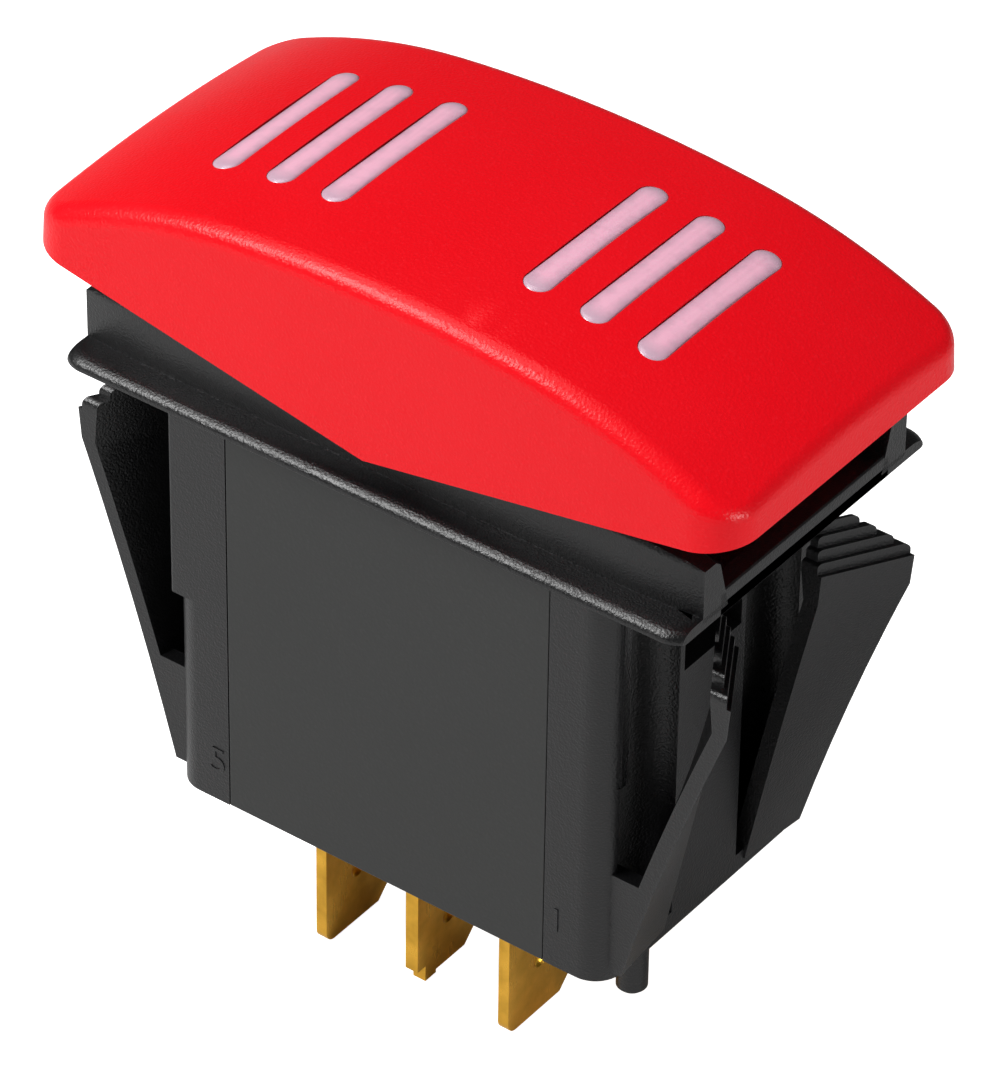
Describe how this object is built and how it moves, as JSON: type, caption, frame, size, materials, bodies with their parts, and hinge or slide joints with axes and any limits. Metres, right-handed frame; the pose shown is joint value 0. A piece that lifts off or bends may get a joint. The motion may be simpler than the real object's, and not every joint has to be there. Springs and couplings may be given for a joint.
{
  "type": "panel rocker switch",
  "caption": "Snap-in panel rocker switch with a curved red rocker, lit lens bars, a flanged housing with sprung wings, and blade terminals underneath.",
  "frame": {"origin": "middle of the panel cut-out, level with the panel's front face, which the underside of the flange rests on", "axes": "+Z out of the panel towards the finger, +X along the rocker towards the end with the locating post, +Y across the rocker"},
  "size_m": [0.0512, 0.0262, 0.0561],
  "materials": {
    "black_bracket": "satin black moulding",
    "charcoal_base": "matt charcoal moulding",
    "red_cap": "matt red moulding with a fine grain",
    "lens": "pale tinted translucent moulding",
    "black_inner": "matt black moulding",
    "lamp_clear": "clear lamp body",
    "white_slider": "slippery off-white moulding",
    "spring_steel": "bright wire",
    "copper_alloy": "stamped copper strip",
    "tab_brass": "stamped brass, slightly dull",
    "contact_silver": "silver contact buttons"
  },
  "bodies": {
    "housing": {"mounting_bracket": "black_bracket", "switch_base": "charcoal_base", "lamp_left": "lamp_clear", "lamp_right": "lamp_clear", "near_terminal_centre": "tab_brass", "near_terminal_left": "tab_brass", "near_fixed_contact_left": "contact_silver", "near_terminal_right": "tab_brass", "near_fixed_contact_right": "contact_silver", "far_terminal_centre": "tab_brass", "far_terminal_left": "tab_brass", "far_fixed_contact_left": "contact_silver", "far_terminal_right": "tab_brass", "far_fixed_contact_right": "contact_silver"},
    "rocker": {"rocker_actuator": "red_cap", "lens_left": "lens", "lens_right": "lens", "rocker_carrier": "black_inner", "near_plunger_spring": "spring_steel", "far_plunger_spring": "spring_steel"},
    "near_plunger": {"near_plunger": "white_slider"},
    "near_contact_rocker": {"near_contact_rocker": "copper_alloy", "near_moving_contact_left": "contact_silver", "near_moving_contact_right": "contact_silver"},
    "far_plunger": {"far_plunger": "white_slider"},
    "far_contact_rocker": {"far_contact_rocker": "copper_alloy", "far_moving_contact_left": "contact_silver", "far_moving_contact_right": "contact_silver"}
  },
  "joints": [
    {"name": "rocker_hinge", "type": "hinge", "parent": "housing", "child": "rocker", "pos_m": [0, 0, 0.0052], "axis": [0, 1, 0], "range_deg": [-10, 10]},
    {"name": "near_plunger_slide", "type": "slide", "parent": "rocker", "child": "near_plunger", "axis": [0, 0, 1], "range_m": [0, 0.0005], "stiffness_N_per_m": 600, "springref_m": -0.0025, "deforming": ["near_plunger_spring"]},
    {"name": "near_contact_hinge", "type": "hinge", "parent": "housing", "child": "near_contact_rocker", "pos_m": [0, -0.0044, -0.019], "axis": [0, 1, 0], "range_deg": [-8, 8]},
    {"name": "far_plunger_slide", "type": "slide", "parent": "rocker", "child": "far_plunger", "axis": [0, 0, 1], "range_m": [0, 0.0005], "stiffness_N_per_m": 600, "springref_m": -0.0025, "deforming": ["far_plunger_spring"]},
    {"name": "far_contact_hinge", "type": "hinge", "parent": "housing", "child": "far_contact_rocker", "pos_m": [0, 0.0044, -0.019], "axis": [0, 1, 0], "range_deg": [-8, 8]}
  ],
  "couplings": [
    {"joint": "near_contact_hinge", "follows": "rocker_hinge", "ratio": -0.8},
    {"joint": "far_contact_hinge", "follows": "rocker_hinge", "ratio": -0.8}
  ]
}
